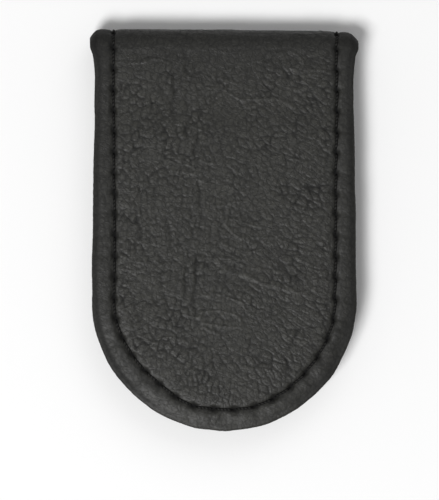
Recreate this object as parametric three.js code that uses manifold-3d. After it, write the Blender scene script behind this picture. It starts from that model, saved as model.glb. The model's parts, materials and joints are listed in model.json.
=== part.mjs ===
// Magnetic leather money clip, in millimetres.
//
// A strip of leather with turned and stitched edges is folded once across its middle, and its two
// leaves grip folded notes between them. Each leaf holds a stiff board with two bar magnets let
// into it, under a leather lining. The clip lies on its back leaf: X is the width, +Y points to
// the fold and +Z is up, through the thickness. The origin is under the middle of the clip, at
// the level of its lowest face.
//
// The fold bends in three places, so the strip is made as two leaves and two fold segments.
import * as THREE from 'three';
import { mergeVertices } from 'three/addons/utils/BufferGeometryUtils.js';
import Module from 'manifold-3d';

const wasm = await Module();
wasm.setup();

// Outline of a leaf: parallel sides, a half round tip, a slight waist and two ears at the fold
const LENGTH = 73;
const TIP_RADIUS = 24;
const WAIST_DEPTH = 0.5;
const WAIST_Y = 27.5;
const EAR_RISE = 0.8;
const EAR_LENGTH = 3;

// Layers of one leaf, from its outer face inwards, with a film of glue between them
const GLUE = 0.05;
const SKIN = 1.0;
const TURNED_EDGE = 0.6;
const BOARD = 1.7;
const LINING = 0.75;
const NOTE_GAP = 0.4;

// Distances inwards from the outer rim
const TURNED_EDGE_WIDTH = 7;
const BOARD_INSET = 7.5;
const STAY_INSET = 8.2;
const LINING_INSET = 1.2;
const STITCH_INSET = 3.7;

// Where the inner parts end below the fold
const BOARD_TOP_Y = 20;
const STAY_LOW_Y = 20.6;
const LINING_SLOPE = 1.5;

// Seam: a groove in the outer face, with a thread in it and a thread on the lining
const GROOVE_WIDTH = 0.9;
const GROOVE_DEPTH = 0.5;
const THREAD_RADIUS = 0.22;
const THREAD_SIDES = 6;

// Bar magnets, two side by side in windows of each board
const MAGNET_SIZE = new THREE.Vector2(11, 20);
const MAGNET_CHAMFER = 0.25;
const MAGNET_CENTRE = new THREE.Vector2(7.2, -11);
const WINDOW_CLEARANCE = 0.2;

// Fold: three hinges inside the outer leather, each of which opens by the same angle
const HINGE_ANGLES = [30, 90, 150];
const HINGE_RANGE = 60;
const HINGE_DEPTH = 0.35;
const HINGE_CLEARANCE = 0.1;

// Fineness of the curved outlines
const TIP_STEPS = 20;
const SIDE_STEPS = 15;
const FOLD_STEPS = 18;

// Levels of the layers of the back leaf, and the radii that they have in the fold
const TURNED_TOP = SKIN + TURNED_EDGE;
const BOARD_LEVEL = SKIN + GLUE;
const BOARD_CEILING = BOARD_LEVEL + BOARD + GLUE;
const LINING_LEVEL = TURNED_TOP + GLUE;
const LINING_TOP = LINING_LEVEL + LINING;
const THICKNESS = 2 * (BOARD_CEILING + LINING) + NOTE_GAP;
const MIDDLE = THICKNESS / 2;
const TIP_CENTRE_Y = TIP_RADIUS - LENGTH / 2;
const FOLD_Y = LENGTH / 2 - MIDDLE;
const HINGE_RADIUS = MIDDLE - HINGE_DEPTH;
const FAR = 60;

const finishes = {
  leather: { color: 0x2a2a29, roughness: 0.5, metalness: 0 },
  lining: { color: 0x1d1c1b, roughness: 0.62, metalness: 0 },
  thread: { color: 0x121212, roughness: 0.75, metalness: 0 },
  board: { color: 0x4a4844, roughness: 0.8, metalness: 0 },
  tape: { color: 0x34332f, roughness: 0.9, metalness: 0 },
  magnet: { color: 0xb9bbbd, roughness: 0.28, metalness: 1 },
};

// ---------------------------------------------------------------- solids

// A closed body through rings of equally many points, with flat ends. The outline is the shape of
// the end rings in a plane of their own.
function loft(rings, outline) {
  const sides = outline.length;
  const points = rings.flat();
  const index = [];
  for (let ring = 0; ring < rings.length - 1; ring += 1) {
    for (let i = 0; i < sides; i += 1) {
      const a = ring * sides + i;
      const b = ring * sides + (i + 1) % sides;
      index.push(a, b, b + sides, a, b + sides, a + sides);
    }
  }
  const last = (rings.length - 1) * sides;
  const clockwise = THREE.ShapeUtils.isClockWise(outline);
  for (const triangle of THREE.ShapeUtils.triangulateShape(outline, [])) {
    const near = clockwise ? triangle : triangle.reverse();
    index.push(...near, ...near.map((i) => last + i).reverse());
  }
  const geometry = new THREE.BufferGeometry().setFromPoints(points);
  geometry.setIndex(index);
  return volume(geometry) > 0 ? geometry : turnedOver(geometry);
}

function volume(geometry) {
  const place = geometry.attributes.position;
  const corners = [new THREE.Vector3(), new THREE.Vector3(), new THREE.Vector3()];
  let sum = 0;
  for (let i = 0; i < geometry.index.count; i += 3) {
    corners.forEach((corner, k) => corner.fromBufferAttribute(place, geometry.index.getX(i + k)));
    sum += corners[0].dot(corners[1].cross(corners[2])) / 6;
  }
  return sum;
}

function turnedOver(geometry) {
  geometry.setIndex(Array.from(geometry.index.array).reverse());
  return geometry;
}

function solid(geometry) {
  const merged = mergeVertices(geometry, 1e-5);
  return new wasm.Manifold(new wasm.Mesh({
    numProp: 3,
    vertProperties: new Float32Array(merged.attributes.position.array),
    triVerts: new Uint32Array(merged.index.array),
  }));
}

function geometryOf(body) {
  const mesh = body.getMesh();
  const geometry = new THREE.BufferGeometry();
  geometry.setAttribute('position', new THREE.BufferAttribute(mesh.vertProperties, 3));
  geometry.setIndex(new THREE.BufferAttribute(mesh.triVerts, 1));
  return geometry;
}

// The same piece in the front leaf: the back leaf's seen in the plane between the two leaves
function acrossTheGap(geometry) {
  const other = geometry.clone();
  other.applyMatrix4(new THREE.Matrix4().makeScale(1, 1, -1).setPosition(0, 0, THICKNESS));
  return turnedOver(other);
}

// ---------------------------------------------------------------- outline of a leaf

function smooth(low, high, value) {
  const t = THREE.MathUtils.clamp((value - low) / (high - low), 0, 1);
  return t * t * (3 - 2 * t);
}

function halfWidth(y) {
  const waist = WAIST_DEPTH * smooth(TIP_CENTRE_Y, WAIST_Y, y);
  return TIP_RADIUS - waist + EAR_RISE * smooth(FOLD_Y - EAR_LENGTH, FOLD_Y, y);
}

// Points down the right side, round the tip and up the left side, a given distance inside the rim
function contour(inset, topY = FOLD_Y) {
  const side = [];
  for (let i = 0; i < SIDE_STEPS; i += 1) {
    const y = THREE.MathUtils.lerp(topY, TIP_CENTRE_Y, i / SIDE_STEPS);
    side.push(new THREE.Vector2(halfWidth(y) - inset, y));
  }
  const tip = [];
  for (let i = 0; i <= TIP_STEPS; i += 1) {
    const angle = Math.PI * i / TIP_STEPS;
    const radius = TIP_RADIUS - inset;
    tip.push(new THREE.Vector2(radius * Math.cos(angle), TIP_CENTRE_Y - radius * Math.sin(angle)));
  }
  const otherSide = side.map((point) => new THREE.Vector2(-point.x, point.y)).reverse();
  return [...side, ...tip, ...otherSide];
}

// A plate whose rim follows a list of [distance inside the rim, level, optional top edge]
function plate(steps) {
  const rings = steps.map(([inset, z, topY]) => (
    contour(inset, topY).map((point) => new THREE.Vector3(point.x, point.y, z))
  ));
  return solid(loft(rings, contour(steps[0][0], steps[0][2])));
}

// A bead that runs along the rim. Its section is a list of Vector2(distance inside the rim, level).
function bead(section, topY = FOLD_Y) {
  const lines = section.map((corner) => contour(corner.x, topY));
  const rings = lines[0].map((_, i) => (
    section.map((corner, k) => new THREE.Vector3(lines[k][i].x, lines[k][i].y, corner.y))
  ));
  return solid(loft(rings, section));
}

// ---------------------------------------------------------------- fold

// A place in the fold: 0 degrees is below its axis, at the back leaf, and 180 is above it
function foldPlace(x, radius, degrees) {
  const angle = THREE.MathUtils.degToRad(degrees);
  return new THREE.Vector3(x, FOLD_Y + radius * Math.sin(angle), MIDDLE - radius * Math.cos(angle));
}

// A section, in x and level, taken from the back leaf round the fold to the front leaf
function aroundFold(section) {
  const rings = [];
  for (let i = 0; i <= FOLD_STEPS; i += 1) {
    rings.push(section.map((corner) => foldPlace(corner.x, MIDDLE - corner.y, 180 * i / FOLD_STEPS)));
  }
  return solid(loft(rings, section));
}

// One side of a hinge: straight out to the hinge's own radius, then slanted back, so that the
// outer leather has room when the hinge opens. Side is 1 above the hinge and -1 below it.
function hingeSide(degrees, side, innermost) {
  const outwards = foldPlace(0, 1, degrees).sub(foldPlace(0, 0, degrees));
  const onwards = foldPlace(0, 1, degrees + 90).sub(foldPlace(0, 0, degrees)).multiplyScalar(side);
  const slant = Math.tan(THREE.MathUtils.degToRad(HINGE_RANGE / 2));
  const reach = MIDDLE + 1;
  return [innermost, HINGE_RADIUS, reach].map((radius) => {
    const back = HINGE_CLEARANCE / 2 + Math.max(0, radius - HINGE_RADIUS) * slant;
    return foldPlace(0, 0, 0).addScaledVector(outwards, radius).addScaledVector(onwards, back);
  });
}

// A block as wide as the clip, with an outline in Y and Z, that takes out one part of the strip
function block(outline) {
  const rings = [-1, 1].map((side) => (
    outline.map((point) => new THREE.Vector3(side * FAR, point.y, point.z))
  ));
  return solid(loft(rings, outline.map((point) => new THREE.Vector2(point.y, point.z))));
}

function foldBlock(from, to) {
  const innermost = MIDDLE / 8;
  return block([...hingeSide(from, 1, innermost), ...hingeSide(to, -1, innermost).reverse()]);
}

function leafBlock() {
  const edge = hingeSide(HINGE_ANGLES[0], -1, 0);
  const below = new THREE.Vector3(0, -FAR, edge[2].z);
  const between = new THREE.Vector3(0, -FAR, edge[0].z);
  return block([...edge, below, between]);
}

// ---------------------------------------------------------------- sections

// From a profile on the right, as Vector2(distance inside the rim, level), to a whole section in x
function wholeSection(profile) {
  const edge = halfWidth(FOLD_Y);
  const right = profile.map((step) => new THREE.Vector2(edge - step.x, step.y));
  const left = right.map((point) => new THREE.Vector2(-point.x, point.y)).reverse();
  return [...right, ...left];
}

function sideSection(section, side) {
  const edge = halfWidth(FOLD_Y);
  return section.map((corner) => new THREE.Vector2(side * (edge - corner.x), corner.y));
}

function rectangle(low, high, bottom, top) {
  return [[low, bottom], [high, bottom], [high, top], [low, top]]
    .map(([inset, z]) => new THREE.Vector2(inset, z));
}

function roundSection(inset, z) {
  const corners = [];
  for (let i = 0; i < THREAD_SIDES; i += 1) {
    const angle = 2 * Math.PI * (i + 0.5) / THREAD_SIDES;
    const x = inset + THREAD_RADIUS * Math.cos(angle);
    corners.push(new THREE.Vector2(x, z + THREAD_RADIUS * Math.sin(angle)));
  }
  return corners;
}

// Rolled rim of the outer leather, from its outer face to the top of the turned edge
const rolledRim = [[0.8, 0], [0.25, 0.25], [0, SKIN * 0.8], [0.15, SKIN * 1.3], [0.5, TURNED_TOP]];
const grooveLow = STITCH_INSET - GROOVE_WIDTH / 2;
const grooveHigh = STITCH_INSET + GROOVE_WIDTH / 2;
const needleSection = roundSection(STITCH_INSET, GROOVE_DEPTH / 2);
const bobbinSection = roundSection(STITCH_INSET, LINING_TOP + GLUE + THREAD_RADIUS);

const coverProfile = [
  [TURNED_EDGE_WIDTH, SKIN], [TURNED_EDGE_WIDTH, TURNED_TOP], ...rolledRim.slice().reverse(),
  [grooveLow, 0], [grooveLow, GROOVE_DEPTH], [grooveHigh, GROOVE_DEPTH], [grooveHigh, 0],
].map(([inset, z]) => new THREE.Vector2(inset, z));

const staySection = wholeSection([
  new THREE.Vector2(STAY_INSET, SKIN + GLUE), new THREE.Vector2(STAY_INSET, TURNED_TOP),
]);
const liningSection = wholeSection([
  new THREE.Vector2(LINING_INSET, LINING_LEVEL), new THREE.Vector2(LINING_INSET, LINING_TOP),
]);

// ---------------------------------------------------------------- pieces of the back leaf

function coverLeaf() {
  const pocket = plate([
    [TURNED_EDGE_WIDTH, SKIN, FOLD_Y + 1], [TURNED_EDGE_WIDTH, SKIN + FAR, FOLD_Y + 1],
  ]);
  const groove = bead(rectangle(grooveLow, grooveHigh, -1, GROOVE_DEPTH), FOLD_Y + 1);
  return plate(rolledRim).subtract(pocket).subtract(groove);
}

// The lining lies on the turned edge and is raised in the middle, over the board
function liningLeaf() {
  const foot = BOARD_INSET - LINING_SLOPE;
  const topY = BOARD_TOP_Y + GLUE;
  const slab = plate([[LINING_INSET, LINING_LEVEL], [LINING_INSET, LINING_TOP]]);
  const rise = BOARD_CEILING - LINING_LEVEL;
  const pillow = plate([
    [foot - LINING, LINING_LEVEL, topY + LINING_SLOPE + LINING],
    [foot - LINING, LINING_TOP, topY + LINING_SLOPE + LINING],
    [BOARD_INSET - LINING, LINING_TOP + rise, topY + LINING],
  ]);
  const hollow = plate([
    [foot, LINING_LEVEL - 1, topY + LINING_SLOPE],
    [foot, LINING_LEVEL, topY + LINING_SLOPE],
    [BOARD_INSET - GLUE, BOARD_CEILING, topY],
  ]);
  return slab.add(pillow).subtract(hollow);
}

// A block at one magnet's place, through rings of [distance inside the magnet's sides, level]
function magnetPlace(side, steps) {
  const corners = [[-1, -1], [1, -1], [1, 1], [-1, 1]];
  const rings = steps.map(([inset, z]) => corners.map(([across, along]) => new THREE.Vector3(
    side * MAGNET_CENTRE.x + across * (MAGNET_SIZE.x / 2 - inset),
    MAGNET_CENTRE.y + along * (MAGNET_SIZE.y / 2 - inset),
    BOARD_LEVEL + z,
  )));
  return solid(loft(rings, rings[0].map((point) => new THREE.Vector2(point.x, point.y))));
}

function magnet(side) {
  const edge = MAGNET_CHAMFER;
  return magnetPlace(side, [[edge, 0], [0, edge], [0, BOARD - edge], [edge, BOARD]]);
}

function magnetWindow(side) {
  return magnetPlace(side, [[-WINDOW_CLEARANCE, -1], [-WINDOW_CLEARANCE, BOARD + 1]]);
}

function board() {
  const whole = plate([
    [BOARD_INSET, BOARD_LEVEL, BOARD_TOP_Y], [BOARD_INSET, BOARD_LEVEL + BOARD, BOARD_TOP_Y],
  ]);
  return whole.subtract(magnetWindow(-1)).subtract(magnetWindow(1));
}

function stayLeaf() {
  const outline = staySection.map((corner) => new THREE.Vector3(corner.x, STAY_LOW_Y, corner.y));
  const end = outline.map((point) => new THREE.Vector3(point.x, FOLD_Y, point.z));
  return solid(loft([outline, end], staySection));
}

// ---------------------------------------------------------------- assembly

const clip = new THREE.Group();

function addMesh(name, finish, geometry) {
  const shown = geometry.toNonIndexed();
  shown.computeVertexNormals();
  const mesh = new THREE.Mesh(shown, new THREE.MeshStandardMaterial(finishes[finish]));
  mesh.name = name;
  clip.add(mesh);
}

// A layer runs through both leaves and the fold. Each leaf takes its own part of it, up to the
// first hinge, and the fold segments take the rest.
const layers = [
  { name: 'outer_cover', finish: 'leather', leaf: coverLeaf(), around: [['', wholeSection(coverProfile)]] },
  { name: 'stay_tape', finish: 'tape', leaf: stayLeaf(), around: [['', staySection]] },
  { name: 'lining', finish: 'lining', leaf: liningLeaf(), around: [['', liningSection]] },
  { name: 'needle_thread', finish: 'thread', leaf: bead(needleSection), around: bothSides(needleSection) },
  { name: 'bobbin_thread', finish: 'thread', leaf: bead(bobbinSection), around: bothSides(bobbinSection) },
];

function bothSides(section) {
  return [['_left', sideSection(section, -1)], ['_right', sideSection(section, 1)]];
}

const segments = ['lower', 'upper'];
for (const layer of layers) {
  const turns = layer.around.map(([suffix, section]) => [suffix, aroundFold(section)]);
  const joined = turns.reduce((whole, [, turn]) => whole.add(turn), layer.leaf);
  const leaf = geometryOf(joined.intersect(leafBlock()));
  addMesh(`${layer.name}_back`, layer.finish, leaf);
  addMesh(`${layer.name}_front`, layer.finish, acrossTheGap(leaf));
  for (const [suffix, turn] of turns) {
    segments.forEach((segment, i) => {
      const part = turn.intersect(foldBlock(HINGE_ANGLES[i], HINGE_ANGLES[i + 1]));
      addMesh(`${layer.name}_fold_${segment}${suffix}`, layer.finish, geometryOf(part));
    });
  }
}

const inserts = [
  ['stiffener', 'board', '', board()],
  ['magnet', 'magnet', '_left', magnet(-1)],
  ['magnet', 'magnet', '_right', magnet(1)],
];
for (const [name, finish, suffix, body] of inserts) {
  const geometry = geometryOf(body);
  addMesh(`${name}_back${suffix}`, finish, geometry);
  addMesh(`${name}_front${suffix}`, finish, acrossTheGap(geometry));
}

export default clip;
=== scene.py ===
import json
import math

import bmesh
import bpy
import numpy as np
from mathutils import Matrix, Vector


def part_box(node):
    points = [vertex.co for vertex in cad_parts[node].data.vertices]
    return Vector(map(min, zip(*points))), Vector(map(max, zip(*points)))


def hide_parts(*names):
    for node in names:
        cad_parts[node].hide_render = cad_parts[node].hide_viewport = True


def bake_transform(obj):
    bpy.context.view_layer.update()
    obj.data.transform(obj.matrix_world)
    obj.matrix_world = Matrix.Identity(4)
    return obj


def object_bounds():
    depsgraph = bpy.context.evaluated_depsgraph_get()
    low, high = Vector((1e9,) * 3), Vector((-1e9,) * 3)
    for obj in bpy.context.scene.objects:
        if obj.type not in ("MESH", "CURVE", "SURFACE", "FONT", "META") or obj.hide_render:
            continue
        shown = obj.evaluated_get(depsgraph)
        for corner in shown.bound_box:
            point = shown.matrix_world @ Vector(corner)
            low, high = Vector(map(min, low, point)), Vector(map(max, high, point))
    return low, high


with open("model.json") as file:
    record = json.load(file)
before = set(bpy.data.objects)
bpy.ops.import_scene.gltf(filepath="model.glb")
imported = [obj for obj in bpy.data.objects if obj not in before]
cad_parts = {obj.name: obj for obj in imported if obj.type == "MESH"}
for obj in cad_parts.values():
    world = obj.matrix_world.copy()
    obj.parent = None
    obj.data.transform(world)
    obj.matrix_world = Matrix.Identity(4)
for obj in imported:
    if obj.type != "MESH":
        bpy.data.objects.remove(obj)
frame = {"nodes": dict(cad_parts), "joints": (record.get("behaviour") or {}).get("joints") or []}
cad_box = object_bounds()

# A folded money clip of black pebbled leather. Each leather piece is worked out as a flat strip and
# then laid round the clip: u runs across the strip, v along it from the middle of the fold, with
# the back leaf below zero, and level is the distance in from the strip's outer face. Lengths are
# in millimetres here, and in metres once a mesh is made.
MM = 0.001


def box_mm(node):
    return [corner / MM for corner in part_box(node)]


# ---------------------------------------------------------------- measures from the CAD parts

clip_low, clip_high = (corner / MM for corner in cad_box)
board_low, board_high = box_mm("stiffener_back")
lining_low, lining_high = box_mm("lining_back")
thread_low, thread_high = box_mm("needle_thread_fold_lower_right")
stay_low, stay_high = box_mm("stay_tape_back")

BEND = (clip_high.z - clip_low.z) / 2
FOLD_Y = clip_high.y - BEND
EAR_HALF = clip_high.x
BOARD_INSET = board_low.y - clip_low.y
TIP_RADIUS = board_high.x + BOARD_INSET
FOLD_RUN = BEND * math.pi / 2
TIP_V = FOLD_RUN + FOLD_Y - clip_low.y - TIP_RADIUS
BOARD_TOP_V = FOLD_RUN + FOLD_Y - board_high.y
TAPE_END_V = FOLD_RUN + FOLD_Y - stay_low.y
SEAM_INSET = EAR_HALF - (thread_low.x + thread_high.x) / 2
LINING_INSET = EAR_HALF - lining_high.x
LINING_LEVEL = lining_low.z
BOARD_LEVEL = board_low.z

# ---------------------------------------------------------------- measures of the leather

# The outer leather, from its face to its flesh side and to the under side of its turned edge
SKIN = 1.0
HEM_LEVEL = 1.6
HEM_WIDTH = 7.0

LINING = 0.75
LINING_TOP = LINING_LEVEL + LINING
LINING_RISE = lining_high.z - LINING_TOP

# The outline: a leaf narrows to a waist, and widens towards the ears beside the fold
WAIST_DEPTH = 0.5
WAIST_V = 12.0
SHOULDER = 0.35
EAR_STARTS = 7.4
EAR_ENDS = 5.4

# The rolled edge
ROLL_WIDTH = 1.7
ROLL_LEVEL = 0.85
ROLL_UNDER = 0.6
ROLL_STEPS = 9
UNDER_STEPS = 5

# The fold was pressed a little askew: its left end stands further out than its right end
FOLD_SKEW = 0.009
SKEW_REACH = 20.0

# The seam is almost straight. It is a little nearer the right rim than the left, and it leans in
# towards the tip. There it cuts the corners of the turn, and comes back out at the middle
SEAM_SHIFT = 0.15
SEAM_LEAN = 0.35
SEAM_AT_TIP = -0.1
SEAM_CORNER = 0.4
SEAM_TIP_RADIUS = TIP_RADIUS - SEAM_INSET
STITCHES_PER_QUARTER = 22
PITCH = (TIP_V + SEAM_TIP_RADIUS * math.pi / 2) / STITCHES_PER_QUARTER

# How far the seam strays sideways along the sides, how much more in the turn, in steps of what
# length, and how near the middle of the tip it steadies
STRAY = 0.09
STRAY_IN_TURN = 0.2
STRAY_STEP = 7
STEADY_END = 6

# The strips are cut here, between a leaf and the fold
CUT_V = PITCH / 2

# Fineness of the meshes
GRAIN_STEP = 0.21
LINING_STEP = 0.5

# ---------------------------------------------------------------- smooth steps and noise


def smooth(low, high, value):
    t = np.clip((value - low) / (high - low), 0, 1)
    return t * t * (3 - 2 * t)


def bell(value, width):
    return np.exp(-((value / width) ** 2))


# The noise repeats itself after this many units
TABLE_SIZE = 256


def random_table(seed):
    return np.random.default_rng(seed).random((TABLE_SIZE, TABLE_SIZE))


def noise(x, y, seed):
    """Smooth noise from -1 to 1, with about one bump per unit."""
    table = random_table(seed)
    ix, iy = np.floor(x).astype(int), np.floor(y).astype(int)
    fx, fy = smooth(0, 1, x - ix), smooth(0, 1, y - iy)
    corners = [
        [table[(ix + i) % TABLE_SIZE, (iy + j) % TABLE_SIZE] for j in (0, 1)] for i in (0, 1)
    ]
    low = corners[0][0] * (1 - fx) + corners[1][0] * fx
    high = corners[0][1] * (1 - fx) + corners[1][1] * fx
    return 2 * (low * (1 - fy) + high * fy) - 1


# Further than the nearest of the scattered points can be
FAR = 9.0


def cells(x, y, seed):
    """Distances to the nearest and to the second nearest of scattered points, one per unit square."""
    along_x, along_y = random_table(seed), random_table(seed + 1)
    ix, iy = np.floor(x).astype(int), np.floor(y).astype(int)
    first = np.full(x.shape, FAR)
    second = np.full(x.shape, FAR)
    for i in (-1, 0, 1):
        for j in (-1, 0, 1):
            column, row = (ix + i) % TABLE_SIZE, (iy + j) % TABLE_SIZE
            gap_x = ix + i + along_x[column, row] - x
            gap_y = iy + j + along_y[column, row] - y
            gap = np.hypot(gap_x, gap_y)
            second = np.minimum(second, np.maximum(first, gap))
            first = np.minimum(first, gap)
    return first, second


def creases(x, y, seed, sharpness):
    """Thin winding lines, 1 on a line and 0 away from it."""
    return np.clip(1 - sharpness * np.abs(noise(x, y, seed)), 0, 1) ** 2


def turned(x, y, degrees):
    c, s = math.cos(math.radians(degrees)), math.sin(math.radians(degrees))
    return x * c + y * s, y * c - x * s


# ---------------------------------------------------------------- the strip


def half_width(v):
    along = np.abs(v)
    waist = WAIST_DEPTH * smooth(TIP_V, WAIST_V, along)
    ear = EAR_HALF - TIP_RADIUS + WAIST_DEPTH - SHOULDER
    shoulder = SHOULDER * smooth(WAIST_V, EAR_ENDS, along)
    return TIP_RADIUS - waist + shoulder + ear * smooth(EAR_STARTS, EAR_ENDS, along)


def seam_inset(v, across):
    """The seam's distance from the rim. Across is 1 at the right side, 0 at the tip, -1 at the left."""
    middle = half_width(v) - SEAM_TIP_RADIUS + SEAM_LEAN * np.abs(v) / TIP_V
    corner = 4 * across**2 * (1 - across**2)
    return middle + SEAM_CORNER * corner + SEAM_AT_TIP * (1 - across**2) - SEAM_SHIFT * across


def wander(run, side):
    """How far the hand-guided seam strays sideways, most in the turn to the middle of the tip."""
    steady = smooth(0, STEADY_END, PITCH * STITCHES_PER_QUARTER - np.abs(run))
    turning = smooth(TIP_V - 6, TIP_V + 4, np.abs(run))
    straying = noise(run / STRAY_STEP + 40 * side, 0, 11)
    return (STRAY + STRAY_IN_TURN * turning) * steady * straying


def past_hole(run):
    """Distance along the seam from the nearest needle hole, below zero before the hole."""
    return (run / PITCH - np.floor(run / PITCH) - 0.5) * PITCH


def place(points):
    """From u, v and level in the strip to x, y and z in the folded clip, all in millimetres."""
    u, v, level = points[..., 0], points[..., 1], points[..., 2]
    angle = np.clip(v / BEND + math.pi / 2, 0, math.pi)
    beyond = np.maximum(np.abs(v) - FOLD_RUN, 0)
    skew = FOLD_SKEW * u * smooth(SKEW_REACH, 0, np.abs(v))
    y = FOLD_Y + (BEND - level) * np.sin(angle) - beyond - skew
    z = clip_low.z + BEND - (BEND - level) * np.cos(angle)
    return np.stack([u, y, z], axis=-1)


class Columns:
    """Lines from the middle of the strip to its rim, each along (across, along) from (0, start).

    Every value is an array of one column, so that it fits a table with one line in each row. Reach
    is how far the rim is from the start, run is the distance along the seam from the middle of the
    fold, and seam is the seam's distance from the rim.
    """

    def __init__(self, start, across, along, reach, run):
        self.start = start[:, None]
        self.across = across[:, None]
        self.along = along[:, None]
        self.reach = reach[:, None]
        self.run = run[:, None]
        self.seam = seam_inset(self.start, self.across)

    def side(self):
        """1 on the right and -1 on the left. The middle of a tip counts as the right."""
        return np.sign(self.across + 1e-9)

    def past_seam(self, inset):
        """How far inside the seam a point is, from its distance inside the rim."""
        return inset - self.seam - wander(self.run, self.side())


def side_columns(v, side):
    still = np.zeros_like(v)
    return Columns(v, still + side, still, half_width(v), v)


def tip_columns(count, leaf):
    """Columns that turn round a tip, from the right side to the left. Leaf is -1 for the back."""
    angle = np.linspace(0, math.pi, count + 1)
    from_side = np.minimum(angle, math.pi - angle)
    run = leaf * (TIP_V + SEAM_TIP_RADIUS * from_side)
    still = np.zeros_like(angle)
    return Columns(
        still + leaf * TIP_V, np.cos(angle), leaf * np.sin(angle), still + TIP_RADIUS, run
    )


# The lines of a tip are thinned out towards its middle, by half each time and at most this often
MOST_HALVINGS = 3


class Section:
    """Half a cross-section, from the middle line round the rim and back to the middle line.

    It holds each point's distance inside the rim and its level, the direction that the surface
    faces there as (towards the rim, towards deeper levels), and how much of the leather's relief
    and shape the point takes.
    """

    def __init__(self, points):
        table = np.array(points, float)
        self.inset, self.level, self.out, self.down, self.relief, self.shape = table.T
        steps = np.hypot(np.diff(self.inset), np.diff(self.level))
        self.travel = np.concatenate([[0], np.cumsum(steps)])

    def strides(self):
        """Every how many lines of a tip are used at each point: fewer near the middle of the tip."""
        radius = TIP_RADIUS - self.inset + 0.1
        halvings = np.clip(np.floor(np.log2(TIP_RADIUS / radius)), 0, MOST_HALVINGS)
        return np.where(self.relief == 1, 2**halvings, 1).astype(int)


def layout(columns, section, relief):
    """The section laid along the columns: points in the strip, flat places on the surface, tones.

    Relief is a function of the flat places, the columns and the section. It gives how far the
    surface stands out there, the surface's tone, and how far the whole layer is raised.
    """
    inner = (columns.reach - BOARD_INSET) * (TIP_RADIUS - section.inset) / (TIP_RADIUS - BOARD_INSET)
    radius = np.where(section.inset < BOARD_INSET, columns.reach - section.inset, inner)
    spread = radius + section.travel - (TIP_RADIUS - section.inset)
    x, y = columns.across * spread, columns.start + columns.along * spread
    height, tone, rise = relief(x, y, columns, section)
    radius = radius + section.out * height
    u, v = columns.across * radius, columns.start + columns.along * radius
    level = section.level + section.down * height + rise
    return np.stack([u, v, level], axis=-1), np.stack([x, y], axis=-1), tone


# ---------------------------------------------------------------- meshes

# A face with more corners than this is the flat end of a piece
MOST_CORNERS = 5

# Points nearer than this are joined, and places nearer than this are the same, both in metres
JOIN = 1e-7
SAME = 1e-6


def read(items, name, width=1, kind=np.float32):
    """One row of values for each item of a mesh, or one value if the width is 1."""
    values = np.empty(len(items) * width, kind)
    items.foreach_get(name, values)
    return values.reshape(-1, width) if width > 1 else values


def weld(mesh):
    """Joins the points that fall together, and turns every face outwards."""
    work = bmesh.new()
    work.from_mesh(mesh)
    bmesh.ops.remove_doubles(work, verts=work.verts, dist=JOIN)
    bmesh.ops.recalc_face_normals(work, faces=work.faces)
    work.to_mesh(mesh)
    work.free()


class Shell:
    """Points and faces that become one closed mesh."""

    def __init__(self):
        self.points, self.flat, self.tones, self.faces = [], [], [], []
        self.count = 0

    def add(self, points, flat, tone):
        """Adds points, and gives their numbers in the same order and shape."""
        numbers = self.count + np.arange(tone.size).reshape(tone.shape)
        self.points.append(points.reshape(-1, 3))
        self.flat.append(flat.reshape(-1, 2))
        self.tones.append(tone.reshape(-1))
        self.count += tone.size
        return numbers

    def cap(self, ring):
        self.faces.append(ring.tolist())

    def tube(self, points, flat, tone, open_end=False):
        """Adds a tube of closed rings, one in each row of points, with a flat face on each end, or
        on the first end only if the other end is open."""
        numbers = self.add(points, flat, tone)
        after = np.roll(numbers, -1, axis=1)
        quads = np.stack([numbers[:-1], after[:-1], after[1:], numbers[1:]], axis=-1)
        self.faces.extend(quads.reshape(-1, 4).tolist())
        self.cap(numbers[0])
        if not open_end:
            self.cap(numbers[-1])

    def fan(self, points, flat, tone, strides):
        """Adds lines of points that turn round their first point, one line in each row. Near that
        point only some of the lines are used: strides has every how many, for each step outwards."""
        arcs = [
            self.add(points[::stride, k], flat[::stride, k], tone[::stride, k])
            for k, stride in enumerate(strides)
        ]
        for inner, outer in zip(arcs, arcs[1:]):
            if len(inner) == len(outer):
                faces = [inner[:-1], inner[1:], outer[1:], outer[:-1]]
            else:
                faces = [inner[:-1], inner[1:], outer[2::2], outer[1::2], outer[:-1:2]]
            self.faces.extend(np.stack(faces, axis=-1).tolist())

    def build(self, name, material):
        points = place(np.concatenate(self.points)) * MM
        mesh = bpy.data.meshes.new(name)
        mesh.from_pydata(points.tolist(), [], self.faces)
        flat = np.concatenate(self.flat)[read(mesh.loops, "vertex_index", kind=int)]
        flat_map = mesh.uv_layers.new(name="flat")
        flat_map.data.foreach_set("uv", flat.astype(np.float32).ravel())
        # The tones go to the materials as an attribute. On the leather and the thread they hold painted
        # shade, and on the outer leather's ridges a lighter colour that is part wear, part painted
        # highlight
        tones = mesh.attributes.new("tone", "FLOAT", "POINT")
        tones.data.foreach_set("value", np.concatenate(self.tones).astype(np.float32))
        weld(mesh)
        sizes = read(mesh.polygons, "loop_total", kind=int)
        mesh.polygons.foreach_set("use_smooth", sizes <= MOST_CORNERS)
        mesh.materials.append(material)
        piece = bpy.data.objects.new(name, mesh)
        bpy.context.scene.collection.objects.link(piece)
        return piece


def steps_between(v_start, v_end, step):
    """Places along the strip, at most a step apart."""
    return np.linspace(v_start, v_end, 1 + math.ceil(abs(v_end - v_start) / step))


def part_ends(leaf, far_v):
    """Where a part of a strip starts and ends. Leaf is 0 for the fold."""
    return (leaf * CUT_V, leaf * far_v) if leaf else (-CUT_V, CUT_V)


def ring_of(right, left):
    """Whole cross-sections from their right and left halves."""
    return np.concatenate([right, left[:, -2:0:-1]], axis=1)


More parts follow.
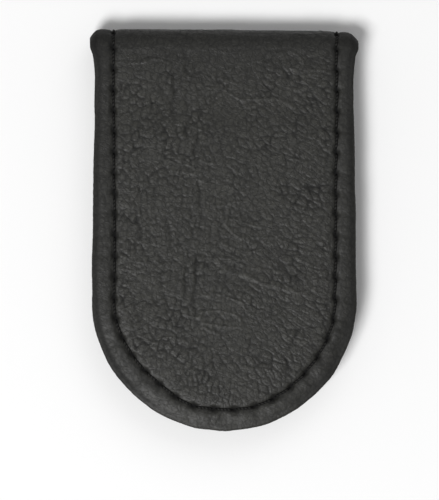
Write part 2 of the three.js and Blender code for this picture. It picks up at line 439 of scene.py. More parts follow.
def leather_piece(name, leaf, step, section, relief, material):
    """A leaf of a leather strip with its tip, or the fold if leaf is 0."""
    shell = Shell()
    v = steps_between(*part_ends(leaf, TIP_V), step)
    halves = [layout(side_columns(v, side), section, relief) for side in (1, -1)]
    shell.tube(*[ring_of(right, left) for right, left in zip(*halves)], open_end=leaf != 0)
    if leaf:
        most_stride = 2**MOST_HALVINGS
        count = most_stride * round(math.pi * TIP_RADIUS / step / most_stride)
        shell.fan(*layout(tip_columns(count, leaf), section, relief), section.strides())
    return shell.build(name, material)


def share_normals(pieces):
    """Gives the pieces of one strip the same normals along the cuts between them."""
    found = []
    for piece in pieces:
        mesh = piece.data
        corners = read(mesh.loops, "vertex_index", kind=int)
        sizes = read(mesh.polygons, "loop_total", kind=int)
        in_cap = np.repeat(sizes > MOST_CORNERS, sizes)
        normals = read(mesh.corner_normals, "vector", 3)
        places = read(mesh.vertices, "co", 3)
        chosen = np.flatnonzero(np.isin(corners, corners[in_cap]) & ~in_cap)
        keys = np.round(places[corners[chosen]] / SAME).astype(int)
        found.append((mesh, chosen, normals[chosen], keys))
    every_key = np.concatenate([keys for *_, keys in found])
    _, group = np.unique(every_key, axis=0, return_inverse=True)
    group = group.ravel()
    sums = np.zeros((group.max() + 1, 3))
    np.add.at(sums, group, np.concatenate([normals for _, _, normals, _ in found]))
    shared = sums / np.linalg.norm(sums, axis=1)[:, None]
    start = 0
    for mesh, chosen, _, _ in found:
        custom = np.zeros((len(mesh.loops), 3))
        custom[chosen] = shared[group[start:start + len(chosen)]]
        start += len(chosen)
        mesh.normals_split_custom_set(custom.tolist())


# ---------------------------------------------------------------- grain and wrinkles
# In what follows x and y are places on the flat strip, and the last number of a noise is its seed.

# Pebbles: the direction that they run in, their size across and along it, and their seed
LEFT_PEBBLES = (22, 1.4, 1.95, 31)
RIGHT_PEBBLES = (-64, 1.3, 2.2, 33)
SMALL_PEBBLES = (20, 0.72, 0.8, 41)
SMALL_SHARE = 0.2

# A pebble is at full height where it is this much nearer its own middle than the next pebble's,
# and the shade of a crease takes this share of the slope
PEBBLE_SLOPE = 0.45
SHADED_SHARE = 0.6

# The pebbles are pushed about by noise: how far, the size of its bumps, and its seed
PEBBLE_WARPS = [(0.32, 1.8, 21), (0.12, 0.7, 25)]


def pebble_cells(x, y, degrees, across_size, along_size, seed):
    """Rounded pebbles, longer along a direction: height from 0 in the creases to 1, and creases."""
    across, along = turned(x, y, degrees)
    first, second = cells(across / across_size, along / along_size, seed)
    slope = np.clip((second - first) / PEBBLE_SLOPE, 0, 1)
    return 1 - (1 - slope) ** 2, 1 - smooth(0, SHADED_SHARE, slope)


def pebbles(x, y):
    """The leather's grain, as (height from 0 to 1, how near a crease from 0 to 1)."""
    warped_x, warped_y = x, y
    for length, step, seed in PEBBLE_WARPS:
        warped_x = warped_x + length * noise(x / step, y / step, seed)
        warped_y = warped_y + length * noise(x / step, y / step, seed + 1)
    left, left_crease = pebble_cells(warped_x, warped_y, *LEFT_PEBBLES)
    right, right_crease = pebble_cells(warped_x, warped_y, *RIGHT_PEBBLES)
    small, _ = pebble_cells(warped_x, warped_y, *SMALL_PEBBLES)
    share = smooth(-3, 9, x + 4 * noise(x / 5, y / 5, 27))
    big = left + (right - left) * share
    crease = left_crease + (right_crease - left_crease) * share
    depth = 0.6 + 0.4 * noise(x / 2.6, y / 2.6, 23)
    return (1 - SMALL_SHARE) * (1 - depth * (1 - big)) + SMALL_SHARE * small, depth * crease


# Upright wrinkles left of the middle: their spacing, their width, and where their band lies
WRINKLE_GAP = 2.1
WRINKLE_WIDTH = 0.38
WRINKLES_X = -6.8
WRINKLES_REACH = 4.4

# Directions of the long creases on the right and of the thin ridges, in degrees
CREASE_SLANT = -52
RIDGE_SLANT = 16


def upright_wrinkles(x, y):
    """Wrinkles along the left half of a leaf that die out towards its tip, from 0 to 1."""
    bent = x + 0.9 * noise(x / 5, y / 8, 61) + 0.35 * noise(x / 1.6, y / 1.3, 64)
    from_line = WRINKLE_GAP * (bent / WRINKLE_GAP - np.round(bent / WRINKLE_GAP))
    patches = smooth(-0.4, 0.5, noise(x / 2.4, y / 4, 63))
    band = bell(x - WRINKLES_X, WRINKLES_REACH) * smooth(TIP_V + 10, TIP_V, np.abs(y))
    return bell(from_line, WRINKLE_WIDTH) * patches * band


def slanted_creases(x, y):
    """Long slanting creases on the right half of a leaf, from 0 to 1."""
    across, along = turned(x, y, CREASE_SLANT)
    return creases(across / 1.7, along / 9, 71, 6) * smooth(2, 12, x)


def thin_ridges(x, y):
    """Patches of thin raised lines that slant across a leaf, from 0 to 1."""
    across, along = turned(x, y, RIDGE_SLANT)
    wavy = along + 0.6 * noise(x / 3, y / 3, 72)
    return creases(across / 7, wavy / 1.7, 73, 7) * smooth(-0.1, 0.4, noise(x / 7, y / 4, 74))


# Depth of the hollow between the fold and the board, how much less of it there is at the fold, and
# how far the ends of a leaf sink below its middle
HOLLOW_DEPTH = 0.36
FOLD_SWELL = 0.06
ENDS_SINK = 0.12


def sinking(v):
    """How far the outer face sinks, in the hollow and towards both ends of a leaf."""
    along = np.abs(v)
    hollow = smooth(BOARD_TOP_V + 4, BOARD_TOP_V - 3.5, along)
    sunk = hollow * (HOLLOW_DEPTH * smooth(-1, 6, along) - FOLD_SWELL)
    return sunk + ENDS_SINK * (2 * along / (TIP_V + TIP_RADIUS) - 1) ** 2


# ---------------------------------------------------------------- relief of the outer leather

# How far a needle hole strays along the seam, and how far it slants for each millimetre
HOLE_STRAY = 0.15
HOLE_SLANT = 0.25


class OuterZones:
    """Where the points of the outer leather lie. Each zone is 1 inside it and 0 outside it."""

    def __init__(self, y, columns, section):
        self.inset, self.run, self.across = section.inset, columns.run, columns.across
        self.offset = columns.past_seam(self.inset)

        # The panel inside the seam and the border outside it
        self.panel = smooth(0.3, 1.4, self.offset)
        self.border = smooth(-0.3, -0.9, self.offset)

        # The bent leather of the fold, and the ears at its ends
        self.fold = smooth(FOLD_RUN + 8, FOLD_RUN - 2, np.abs(y))
        self.ear = smooth(EAR_STARTS, 0, np.abs(y))

        # The rounded end of a leaf, by the distance along the seam and by the rim's direction
        self.tip = smooth(TIP_V - 4, TIP_V + 6, np.abs(self.run))
        self.turn = smooth(0.4, 1, 1 - self.across**2)

        # The needle holes, which are unevenly spaced and slant across the groove
        hole = past_hole(self.run) + HOLE_STRAY * noise(self.run / PITCH, 0, 83)
        self.near_hole = bell(hole, 0.6)
        slanted = bell(self.offset + HOLE_SLANT * hole * columns.side(), 0.34)
        self.slanted_hole = slanted * bell(hole, 0.85)


# Depth of the grain on the panel and on the border. Grain of one height keeps its place however deep
# the rest is, and all of it lies a little lower than the leather's face
PANEL_GRAIN = 0.195
BORDER_GRAIN = 0.09
GRAIN_LEVEL = 0.8
GRAIN_SINKS = 0.03

# Heights of the thin ridges, of the leather's unevenness on the panel and everywhere, of the small
# gathers, lumps and ears of the border, and of the fold's lines. Depth of the wrinkles
RIDGE_HEIGHT = 0.12
PANEL_UNEVEN = 0.05
UNEVEN = 0.02
GATHERS = 0.035
LUMPS = 0.1
EAR_HEIGHT = 0.06
FOLD_LINES = 0.035
WRINKLE_DEPTH = 0.16


def skin_height(x, y, zones, grain, ridges, lines):
    """The grain, the wrinkles and the unevenness of the skin."""
    border = zones.border
    amount = (PANEL_GRAIN * zones.panel + BORDER_GRAIN * border) * (1 - 0.8 * zones.fold)
    height = amount * (grain - GRAIN_LEVEL) - GRAIN_SINKS
    height += PANEL_UNEVEN * zones.panel * noise(x / 6, y / 7, 51)
    height += UNEVEN * noise(x / 2.4, y / 2.4, 52)
    height += RIDGE_HEIGHT * ridges - WRINKLE_DEPTH * lines
    gathers = noise(zones.run / 0.75, zones.inset / 2.6, 81) * (0.25 + 0.75 * zones.tip)
    height += GATHERS * border * gathers * smooth(ROLL_WIDTH * 0.3, ROLL_WIDTH, zones.inset)
    lumps = noise(x / 5, y / 5, 82) + zones.tip * noise(x / 2.6, y / 2.6, 85)
    height += border * (LUMPS * lumps + EAR_HEIGHT * zones.ear)
    return height + FOLD_LINES * zones.fold * noise(x / 5, y / 0.6, 91)


# The groove of the seam: its depth and width, how much more there is at the holes, the wide dent
# round it, and the depth of the slanted holes
GROOVE_DEPTH = 0.19
GROOVE_WIDTH = 0.38
DEEPER_AT_HOLES = 0.32
WIDER_AT_HOLES = 0.14
DENT_DEPTH = 0.13
DENT_WIDTH = 1.3
SLANTED_DEPTH = 0.2

# How far the border lies below the panel, how far it bulges between holes, how far the panel rises
# inside the seam, and how far the rim leans down at the tip, on the right side and at the ears
BORDER_SINKS = 0.1
BORDER_BULGE = 0.04
PANEL_RISE = 0.04
TIP_LEAN = 0.35
RIGHT_LEAN = 0.16
EAR_LEAN = 0.3


def pressed_shape(y, zones):
    """What the seam, the boards and the turned edge make of the leather: mostly below zero."""
    offset, inset, near_hole = zones.offset, zones.inset, zones.near_hole
    width = GROOVE_WIDTH + WIDER_AT_HOLES * near_hole
    groove = (GROOVE_DEPTH + DEEPER_AT_HOLES * near_hole) * bell(offset, width)
    groove += DENT_DEPTH * bell(offset, DENT_WIDTH) + SLANTED_DEPTH * zones.slanted_hole
    edge = BORDER_SINKS * smooth(0.4, -0.6, offset) - BORDER_BULGE * zones.border * (1 - near_hole)
    cushion = PANEL_RISE * smooth(1.5, 8, offset) - sinking(y)
    lean = TIP_LEAN * zones.tip + RIGHT_LEAN * np.maximum(zones.across, 0)
    rim = lean * smooth(3.4, 0.2, inset) + EAR_LEAN * zones.ear * smooth(2.4, 0.4, inset)
    return cushion - groove - edge - rim


# The tone of plain leather, and the share of it that each thing takes away or adds
PLAIN_TONE = 0.8
# Painted shade in the grain's creases and in the wrinkles. The ridges are lighter: part wear, part
# painted highlight
CREASE_SHADE = 0.85
WRINKLE_SHADE = 0.45
RIDGE_LIGHT = 0.35
# Painted shade on the border's sides and on the fold, where they turn from the light, and along the
# rolled rim
BORDER_SHADE = 0.36
FOLD_SHADE = 0.42
RIM_SHADE = 0.5
# Painted shade in the seam's groove, in the dent round it and in the needle holes
GROOVE_SHADE = 0.2
DENT_SHADE = 0.12
HOLE_SHADE = 1.35


def outer_tone(zones, crease, ridges, lines):
    """Lightness of the leather from 0 to about 1: painted shade in creases, wrinkles, holes, the seam's
    groove and dent, on the border and the fold and along the rim, and a lighter colour on ridges that
    is part wear and part painted highlight.
    """
    creased = crease * (0.3 + 0.7 * zones.panel) * (1 - 0.5 * zones.fold)
    tone = PLAIN_TONE * (1 - CREASE_SHADE * creased)
    tone = tone * (1 - WRINKLE_SHADE * lines) * (1 + RIDGE_LIGHT * ridges)
    tone = tone * (1 - BORDER_SHADE * zones.border * (1 - zones.turn)) * (1 - FOLD_SHADE * zones.fold)
    tone = tone * (1 - RIM_SHADE * bell(zones.inset - 0.7, 0.6) * (1 - 0.8 * zones.turn))
    tone = tone * (1 - GROOVE_SHADE * bell(zones.offset, 0.5))
    tone = tone * (1 - DENT_SHADE * bell(zones.offset, 1.2))
    return tone * (1 - np.clip(HOLE_SHADE * zones.slanted_hole, 0, 1))


# How far the leather is rounded in at the rim of the ears, and how strong the slanted creases are
# beside the upright wrinkles
EAR_ROUNDING = 0.9
SLANTED_SHARE = 0.45


def outer_relief(x, y, columns, section):
    """Relief of the outer leather. Its tone is above zero on the panel and below it on the border."""
    zones = OuterZones(y, columns, section)
    grain, crease = pebbles(x, y)
    ridges = thin_ridges(x, y) * zones.panel
    lines = np.maximum(upright_wrinkles(x, y), SLANTED_SHARE * slanted_creases(x, y))
    lines = lines * zones.panel * (1 - 0.6 * zones.fold)
    height = section.relief * skin_height(x, y, zones, grain, ridges, lines)
    height += section.shape * pressed_shape(y, zones)
    tone = outer_tone(zones, crease, ridges, lines) * np.where(zones.offset > 0, 1, -1)
    rounding = EAR_ROUNDING * zones.ear * np.clip(1 - section.inset / LINING_INSET, 0, 1) ** 2
    return height, tone * section.relief, rounding


def outer_section():
    points = []
    for inset in np.arange(TIP_RADIUS, ROLL_WIDTH + GRAIN_STEP / 2, -GRAIN_STEP):
        points.append((inset, 0, 0, -1, 1, 1))
    for angle in np.linspace(0, math.pi / 2, ROLL_STEPS + 1):
        s, c = math.sin(angle), math.cos(angle)
        points.append((ROLL_WIDTH * (1 - s), ROLL_LEVEL * (1 - c), s, -c, 1, c))
    for angle in np.linspace(0, math.pi / 2, UNDER_STEPS + 1)[1:]:
        s, c = math.sin(angle), math.cos(angle)
        level = ROLL_LEVEL + (HEM_LEVEL - ROLL_LEVEL) * s
        points.append((ROLL_UNDER * (1 - c), level, c, s, 0.6, 0))
    for inset, level in [
        (LINING_INSET, HEM_LEVEL), (SEAM_INSET, HEM_LEVEL), (HEM_WIDTH, HEM_LEVEL),
        (HEM_WIDTH, SKIN), (TIP_RADIUS / 2, SKIN), (TIP_RADIUS, SKIN),
    ]:
        points.append((inset, level, 0, 1, 0, 0))
    return Section(points)


# ---------------------------------------------------------------- relief of the lining

# The lining rises over the board between these distances outside the board's edge
PADDING_STARTS = 2.4
PADDING_ENDS = 0.5

# Its seam's groove, and its cut edge
LINING_GROOVE = 0.12
LINING_HOLES = 0.14
LINING_DENT = 0.05
LINING_EDGE = 0.2
LINING_EDGE_STEPS = 6


def lining_relief(x, y, columns, section):
    inset, offset = section.inset, columns.past_seam(section.inset)
    padded = smooth(BOARD_INSET - PADDING_STARTS, BOARD_INSET - PADDING_ENDS, inset) * smooth(
        BOARD_TOP_V - 2.3, BOARD_TOP_V - 0.3, np.abs(columns.start)
    )
    near_hole = bell(past_hole(columns.run), 0.5)
    groove = (LINING_GROOVE + LINING_HOLES * near_hole) * bell(offset, 0.42)
    groove += LINING_DENT * bell(offset, 1)
    fold = smooth(FOLD_RUN, FOLD_RUN - 3, np.abs(y))
    height = 0.018 * noise(x / 4, y / 4, 101) + 0.012 * noise(x / 1.4, y / 1.4, 102)
    height += 0.05 * fold * noise(x / 7, y / 0.7, 103)
    # Painted shade: the lining is darker in its seam's groove
    tone = (1 - 0.8 * bell(offset, 0.5)) * section.relief
    return section.relief * height - section.shape * groove, tone, LINING_RISE * padded


def lining_section():
    points = []
    for inset in np.arange(TIP_RADIUS, LINING_INSET + 0.3, -LINING_STEP):
        points.append((inset, LINING_TOP, 0, 1, 1, 1))
    for angle in np.linspace(0, math.pi, LINING_EDGE_STEPS + 1):
        s, c = math.sin(angle), math.cos(angle)
        inset = LINING_INSET + LINING_EDGE * (1 - s)
        points.append((inset, LINING_LEVEL + LINING * (1 + c) / 2, s, c, 0.4, 0))
    for inset in (
        SEAM_INSET, BOARD_INSET - PADDING_STARTS, BOARD_INSET - 1.5, BOARD_INSET - PADDING_ENDS,
        TIP_RADIUS / 2, TIP_RADIUS,
    ):
        points.append((inset, LINING_LEVEL, 0, -1, 0, 0))
    return Section(points)


# ---------------------------------------------------------------- stitches and stay tape

THREAD_RADIUS = 0.2
THREAD_SIDES = 8
THREAD_STEPS = 14

# A stitch is a little flat, and slants and bulges by these lengths. It dives into its holes, this
# far from their middles, and is thinner there
THREAD_WIDTH = 1.15
THREAD_HEIGHT = 0.9
STITCH_SLANT = 0.1
STITCH_BULGE = 0.05
HOLE_INSET = 0.13
HOLE_PINCH = 0.35


def seam_place(run, side, aside):
    """A place on the seam, and how far aside of it, towards the rim, as u and v."""
    along = np.minimum(np.abs(run), TIP_V)
    angle = (np.abs(run) - along) / SEAM_TIP_RADIUS
    start = np.sign(run) * along
    inset = seam_inset(start, side * np.cos(angle)) + wander(run, side)
    distance = half_width(start) - inset + aside
    return side * distance * np.cos(angle), start + np.sign(run) * distance * np.sin(angle)


def unit(vectors):
    return vectors / np.linalg.norm(vectors, axis=1)[:, None]


def add_stitch(shell, centre, side, top, bottom, outwards):
    """One stitch between two holes. It lies at the top level and dives to the bottom level."""
    t = np.linspace(-1, 1, THREAD_STEPS)
    run = centre + t * (PITCH / 2 - HOLE_INSET)
    dive = smooth(0.5, 1, np.abs(t))
    u, v = seam_place(run, side, -STITCH_SLANT * t * np.sign(centre + 0.5))
    level = top + (bottom - top) * dive - outwards * STITCH_BULGE * (1 - t * t)
    level = level + (outwards > 0) * sinking(v)
    path = np.stack([u, v, level], axis=-1)
    ahead = unit(np.gradient(path, axis=0))
    sideways = unit(np.cross(ahead, [0, 0, 1]))
    upwards = np.cross(sideways, ahead)
    turn = np.linspace(0, 2 * math.pi, THREAD_SIDES, endpoint=False)
    radius = (THREAD_RADIUS * (1 - HOLE_PINCH * smooth(0.8, 1, np.abs(t))))[:, None, None]
    ring = THREAD_WIDTH * np.cos(turn)[:, None] * sideways[:, None]
    ring = ring + THREAD_HEIGHT * np.sin(turn)[:, None] * upwards[:, None]
    flat = np.stack(np.broadcast_arrays(turn / (2 * math.pi), run[:, None]), axis=-1)
    # Painted shade: the stitch darkens as it dives into its holes
    tone = flat[..., 0] * 0 + 1 - dive[:, None]
    shell.tube(path[:, None] + radius * ring, flat, tone)


def thread_piece(name, leaf, top, bottom, outwards, material):
    """The stitches of a leaf, or of the fold if leaf is 0. Outwards is 1 outside and -1 inside."""
    shell = Shell()
    for side in (1, -1):
        # The stitch at the middle of the tip belongs to the right side
        last = STITCHES_PER_QUARTER - (side < 0)
        numbers = [leaf * k for k in range(1, last + 1)] if leaf else [0]
        for number in numbers:
            add_stitch(shell, number * PITCH, side, top, bottom, outwards)
    return shell.build(name, material)


# The tape fills the depth between the outer leather and the lining but for a clearance on each
# side. It is thicker along its selvedges, and its crown keeps its faces from being exactly flat
TAPE_CLEARANCE = 0.08
TAPE_SELVEDGE = 0.06
TAPE_CROWN = 0.02
TAPE_POINTS = 41


def tape_piece(name, leaf, material):
    """The stay tape on a leaf, or in the fold if leaf is 0."""
    shell = Shell()
    v = steps_between(*part_ends(leaf, TAPE_END_V), LINING_STEP)
    u = np.linspace(-1, 1, TAPE_POINTS)
    selvedge = TAPE_SELVEDGE * smooth(0.9, 0.97, np.abs(u))
    crown = TAPE_CROWN * (1 - u**2)
    low = BOARD_LEVEL + TAPE_CLEARANCE - selvedge - crown
    high = HEM_LEVEL - TAPE_CLEARANCE + selvedge - crown
    ring = np.concatenate([np.stack([u, low]), np.stack([u, high])[:, ::-1]], axis=1)
    across = stay_high.x * np.broadcast_to(ring[0], (len(v), ring.shape[1]))
    level = np.broadcast_to(ring[1], across.shape)
    along = np.broadcast_to(v[:, None], across.shape)
    points = np.stack([across, along, level], axis=-1)
    shell.tube(points, points[..., :2], across * 0 + 1)
    return shell.build(name, material)


# ---------------------------------------------------------------- materials

NEAR_BLACK = (0.002, 0.002, 0.002)


class Nodes:
    """A material with a Principled shader, and short ways to add nodes to it."""

    def __init__(self, name, roughness, specular):
        self.material = bpy.data.materials.new(name)
        self.material.use_nodes = True
        self.tree = self.material.node_tree
        self.shader = self.tree.nodes["Principled BSDF"]
        self.shader.inputs["Specular IOR Level"].default_value = specular
        self.shader.inputs["Roughness"].default_value = roughness

    def add(self, kind, values=None, **settings):
        node = self.tree.nodes.new(kind)
        for key, value in settings.items():
            setattr(node, key, value)
        for key, value in (values or {}).items():
            if isinstance(value, bpy.types.NodeSocket):
                self.tree.links.new(value, node.inputs[key])
            else:
                node.inputs[key].default_value = value
        return node

    def flat(self, scale):
        """Places on the flat strip, in millimetres times a scale across and along it."""
        place = self.add("ShaderNodeUVMap", uv_map="flat")
        mapping = self.add("ShaderNodeMapping", {"Vector": place.outputs["UV"], "Scale": (*scale, 1)})
        return mapping.outputs["Vector"]

    def slanted(self, sizes, degrees):
        """Places on the flat strip turned by an angle, in steps of two sizes in millimetres."""
        place = self.add("ShaderNodeUVMap", uv_map="flat")
        values = {
            "Vector": place.outputs["UV"],
            "Rotation": (0, 0, math.radians(degrees)),
            "Scale": (*sizes, 1),
        }
        return self.add("ShaderNodeMapping", values, vector_type="TEXTURE").outputs["Vector"]

    def noise(self, place, detail, roughness=0.5, scale=1, output="Fac"):
        values = {"Vector": place, "Scale": scale, "Detail": detail, "Roughness": roughness}
        return self.add("ShaderNodeTexNoise", values).outputs[output]

    def noise_inside(self, scale, detail):
        """Noise through the body of a CAD part, with bumps of about 1 / scale millimetres."""
        place = self.add("ShaderNodeTexCoord").outputs["Object"]
        return self.noise(place, detail, scale=scale / MM)

    def cell_grain(self, place, scale, width):
        """Heights from 0 in the creases round the cells of leather grain to 1 on the cells."""
        cracks = self.add(
            "ShaderNodeTexVoronoi", {"Vector": place, "Scale": scale}, feature="DISTANCE_TO_EDGE"
        )
        return self.spread(cracks.outputs["Distance"], 0, width, 0, 1)

    def spread(self, value, low, high, to_low, to_high):
        node = self.add(
            "ShaderNodeMapRange",
            {"Value": value, "From Min": low, "From Max": high, "To Min": to_low, "To Max": to_high},
        )
        return node.outputs["Result"]

    def maths(self, operation, a, b=0):
        return self.add("ShaderNodeMath", {0: a, 1: b}, operation=operation).outputs[0]

    def vectors(self, operation, values):
        return self.add("ShaderNodeVectorMath", values, operation=operation).outputs[0]

    def times(self, first, *others):
        for other in others:
            first = self.maths("MULTIPLY", first, other)
        return first

    def tone(self):
        return self.add("ShaderNodeAttribute", attribute_name="tone").outputs["Fac"]

    def bump(self, height, depth, before=None, strength=1):
        """A bump of a height from 0 to 1, with its depth in millimetres."""
        values = {"Height": height, "Distance": depth * MM, "Strength": strength}
        if before:
            values["Normal"] = before
        return self.add("ShaderNodeBump", values).outputs["Normal"]

    def between(self, share, dark, light):
        """A colour between two colours. The node has its factor at 0, and its colours at 6 and 7."""
        values = {0: share, 6: (*dark, 1), 7: (*light, 1)}
        return self.add("ShaderNodeMix", values, data_type="RGBA").outputs[2]

    def use(self, colour, roughness, normal):
        sockets = {"Base Color": colour, "Roughness": roughness, "Normal": normal}
        for name, socket in sockets.items():
            self.tree.links.new(socket, self.shader.inputs[name])
        return self.material


def outer_leather():
    nodes = Nodes("outer_leather", roughness=0.5, specular=0.3)
    signed = nodes.tone()
    tone = nodes.maths("ABSOLUTE", signed)

    # The finest grain is weaker on the border, where the tone is below zero
    strength = nodes.spread(signed, -0.1, 0.1, 0.6, 1)
    blotches = nodes.noise(nodes.flat((0.16, 0.12)), detail=4, roughness=0.6)
    mottle = nodes.noise(nodes.flat((1.7, 1.7)), detail=3, roughness=0.6)
    pores = nodes.noise(nodes.flat((2.6, 2.6)), detail=2)
    bent = nodes.noise(nodes.flat((0.9, 0.9)), detail=2, output="Color")
    warp = nodes.vectors("SCALE", {0: bent, "Scale": 0.8})
    warped = nodes.vectors("ADD", {0: nodes.flat((1, 0.85)), 1: warp})
    small = nodes.cell_grain(warped, scale=1.1, width=0.2)
    swell = nodes.noise(nodes.slanted((2.6, 0.9), degrees=20), detail=2)
    from_ridge = nodes.maths("ABSOLUTE", nodes.maths("SUBTRACT", swell, 0.5))
    ridges = nodes.spread(from_ridge, 0, 0.022, 1, 0)
    # The colour takes the tone's painted shade, random blotches, painted shade in the creases of the
    # fine cells, and lighter thin ridges that are part wear, part painted highlight
    share = nodes.times(
        tone,
        nodes.spread(nodes.maths("ADD", blotches, mottle), 0.6, 1.4, 0.7, 1.1),
        nodes.spread(small, 0, 1, 0.5, 1.04),
        nodes.spread(ridges, 0, 1, 0.98, 1.25),
    )
    colour = nodes.between(share, NEAR_BLACK, (0.0345, 0.0341, 0.0294))
    normal = None
    for height, depth in [(small, 0.02), (ridges, 0.03), (pores, 0.035)]:
        normal = nodes.bump(height, depth, normal, strength)
    roughness = nodes.times(
        nodes.spread(nodes.maths("ADD", pores, blotches), 0.6, 1.4, 0.44, 0.56),
        nodes.spread(tone, 0, 0.5, 1.9, 1),
    )
    return nodes.use(colour, roughness, normal)


def lining_leather():
    nodes = Nodes("lining_leather", roughness=0.5, specular=0.4)
    blotches = nodes.noise(nodes.flat((0.2, 0.15)), detail=4, roughness=0.6)
    # The tone brings the painted shade of the seam's groove; the blotches are the leather's own
    share = nodes.times(nodes.tone(), blotches)
    colour = nodes.between(share, (0.008, 0.008, 0.008), (0.05, 0.048, 0.046))
    cell_height = nodes.cell_grain(nodes.flat((2.2, 2.2)), scale=1, width=0.25)
    normal = nodes.bump(cell_height, 0.03)
    normal = nodes.bump(nodes.noise(nodes.flat((3, 3)), detail=3), 0.05, normal)
    return nodes.use(colour, nodes.spread(blotches, 0.3, 0.7, 0.46, 0.62), normal)


def thread_material():
    """Twisted thread: its flat places are turns round it, and millimetres along it."""
    nodes = Nodes("seam_thread", roughness=0.8, specular=0.1)
    place = nodes.add("ShaderNodeSeparateXYZ", {"Vector": nodes.flat((1, 1.6))})
    twist = nodes.maths("ADD", place.outputs["X"], place.outputs["Y"])
    strands = nodes.maths("SINE", nodes.times(twist, 2 * math.pi))
    height = nodes.spread(strands, -1, 1, 0, 1)
    # Painted shade: the thread is darker between its strands, and where its tone falls as it dives into
    # a hole
    share = nodes.times(height, nodes.tone())
    colour = nodes.between(share, NEAR_BLACK, (0.018, 0.0178, 0.0165))
    normal = nodes.bump(nodes.noise(nodes.flat((20, 6)), detail=2), 0.01, nodes.bump(height, 0.015))
    return nodes.use(colour, nodes.spread(height, 0, 1, 0.75, 0.55), normal)


def tape_material():
    nodes = Nodes("stay_tape", roughness=0.85, specular=0.2)
    place = nodes.add("ShaderNodeSeparateXYZ", {"Vector": nodes.flat((14, 14))})
    warp = nodes.maths("SINE", place.outputs["X"])
    weft = nodes.maths("SINE", place.outputs["Y"])
    weave = nodes.spread(nodes.times(warp, weft), -1, 1, 0, 1)
    colour = nodes.between(weave, (0.03, 0.028, 0.024), (0.09, 0.085, 0.075))
    return nodes.use(colour, nodes.spread(weave, 0, 1, 0.92, 0.78), nodes.bump(weave, 0.06))


def board_material():
    nodes = Nodes("stiffener_board", roughness=0.8, specular=0.3)
    fibres = nodes.noise_inside(1.6, detail=5)
    share = nodes.spread(fibres, 0.3, 0.7, 0, 1)
    colour = nodes.between(share, (0.05, 0.046, 0.04), (0.12, 0.11, 0.1))
    return nodes.use(colour, nodes.spread(fibres, 0.3, 0.7, 0.9, 0.7), nodes.bump(fibres, 0.03))


def magnet_material():
    nodes = Nodes("magnet_plating", roughness=0.3, specular=0.5)
    nodes.shader.inputs["Metallic"].default_value = 1
    scuffs = nodes.noise_inside(0.8, detail=6)
    share = nodes.spread(scuffs, 0.35, 0.65, 0, 1)
    colour = nodes.between(share, (0.5, 0.5, 0.49), (0.68, 0.67, 0.65))
    return nodes.use(colour, nodes.spread(scuffs, 0.3, 0.7, 0.22, 0.4), nodes.bump(scuffs, 0.004))


def floor_material():
    nodes = Nodes("floor", roughness=0.9, specular=0.2)
    nodes.shader.inputs["Base Color"].default_value = (0.86, 0.86, 0.86, 1)
    return nodes.material


# ---------------------------------------------------------------- the clip

cover_look, lining_look, thread_look, tape_look = (
    outer_leather(), lining_leather(), thread_material(), tape_material()
)

# Each part of the strip: its name, its leaf, and the CAD bodies that it stands for
strip_parts = [
    ("back", -1, ["back"]),
    ("fold", 0, ["fold_lower", "fold_upper"]),
    ("front", 1, ["front"]),
]

# Levels of the stitches on the outer face and on the lining, and of their ends in the holes
NEEDLE_LEVEL = 0.3
NEEDLE_HOLE_LEVEL = 1.05
BOBBIN_LEVEL = LINING_TOP + 0.02
BOBBIN_HOLE_LEVEL = LINING_TOP - 0.4


def bend(piece, joint, *nodes):
    """Bakes the piece's transform, and hides the CAD nodes that it stands for. The joint is not used.
    """
    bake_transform(piece)
    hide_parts(*nodes)


covers, linings = [], []
for (part, leaf, places), joint in zip(strip_parts, frame["joints"]):
    cover = leather_piece(
        f"cover_{part}", leaf, GRAIN_STEP, outer_section(), outer_relief, cover_look
    )
    lining = leather_piece(
        f"lining_leather_{part}", leaf, LINING_STEP, lining_section(), lining_relief, lining_look,
    )
    tape = tape_piece(f"tape_{part}", leaf, tape_look)
    needle = thread_piece(
        f"needle_stitches_{part}", leaf, NEEDLE_LEVEL, NEEDLE_HOLE_LEVEL, 1, thread_look
    )
    bobbin = thread_piece(
        f"bobbin_stitches_{part}", leaf, BOBBIN_LEVEL, BOBBIN_HOLE_LEVEL, -1, thread_look
    )
    covers.append(cover)
    linings.append(lining)
    sides = [""] if leaf else ["_left", "_right"]
    bend(cover, joint, *[f"outer_cover_{place}" for place in places])
    bend(lining, joint, *[f"lining_{place}" for place in places])
    bend(tape, joint, *[f"stay_tape_{place}" for place in places])
    bend(needle, joint, *[f"needle_thread_{place}{side}" for place in places for side in sides])
    bend(bobbin, joint, *[f"bobbin_thread_{place}{side}" for place in places for side in sides])
share_normals(covers)
share_normals(linings)

# The boards and the magnets keep their CAD shape
looks = {"stiffener": board_material(), "magnet": magnet_material()}
for name, node in frame["nodes"].items():
    kind = name.split("_")[0]
    if kind in looks:
        node.data.materials.clear()
        node.data.materials.append(looks[kind])

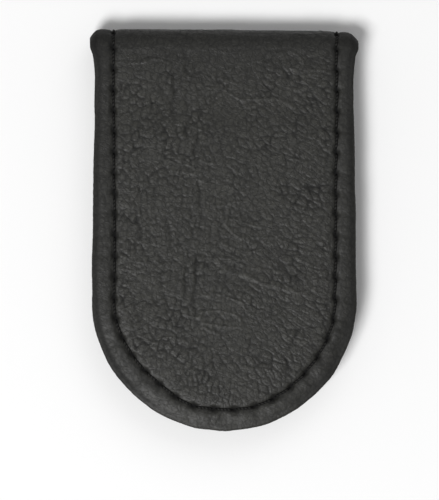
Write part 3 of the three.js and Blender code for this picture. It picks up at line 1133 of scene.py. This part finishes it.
# ---------------------------------------------------------------- floor, lights and camera

FLOOR_HALF = 2
FLOOR_GAP = 0.05 * MM
SKY_LIGHT = 0.3

floor_mesh = bpy.data.meshes.new("floor")
floor_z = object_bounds()[0].z - FLOOR_GAP
corners = [(-1, -1), (1, -1), (1, 1), (-1, 1)]
floor_mesh.from_pydata(
    [(FLOOR_HALF * x, FLOOR_HALF * y, floor_z) for x, y in corners], [], [(0, 1, 2, 3)]
)
floor_mesh.materials.append(floor_material())
floor = bpy.data.objects.new("floor", floor_mesh)
bpy.context.scene.collection.objects.link(floor)

world = bpy.data.worlds.new("studio")
world.use_nodes = True
world.node_tree.nodes["Background"].inputs["Color"].default_value = (1, 1, 1, 1)
world.node_tree.nodes["Background"].inputs["Strength"].default_value = SKY_LIGHT
bpy.context.scene.world = world
bpy.context.scene.view_settings.view_transform = "Standard"


def soft_light(name, direction, distance, size, power):
    """A square lamp that faces the clip. Distance and size are in metres, power in watts."""
    light = bpy.data.lights.new(name, "AREA")
    light.size = size
    light.energy = power
    lamp = bpy.data.objects.new(name, light)
    lamp.location = Vector(direction).normalized() * distance
    lamp.rotation_euler = (-lamp.location).to_track_quat("-Z", "Y").to_euler()
    bpy.context.scene.collection.objects.link(lamp)


soft_light("key_light", (-0.36, -0.5, 1), distance=1.5, size=0.5, power=20.3)
soft_light("back_light", (0.4, 1, 1.2), distance=1.5, size=1, power=3)

# The camera looks straight down, from so far away that the photo's scale is met
LENS = 200
SENSOR = 36
PIXELS_HIGH = 500
PIXELS_PER_MM = 5.53
AIM = (-0.85, -3.68, clip_high.z)
CLIP_START = 0.01

camera_data = bpy.data.cameras.new("camera")
camera_data.lens = LENS
camera_data.sensor_width = SENSOR
camera_data.clip_start = CLIP_START
camera = bpy.data.objects.new("camera", camera_data)
camera_height = PIXELS_HIGH / PIXELS_PER_MM * LENS / SENSOR
camera.location = Vector(AIM) * MM + Vector((0, 0, camera_height)) * MM
bpy.context.scene.collection.objects.link(camera)
bpy.context.scene.camera = camera
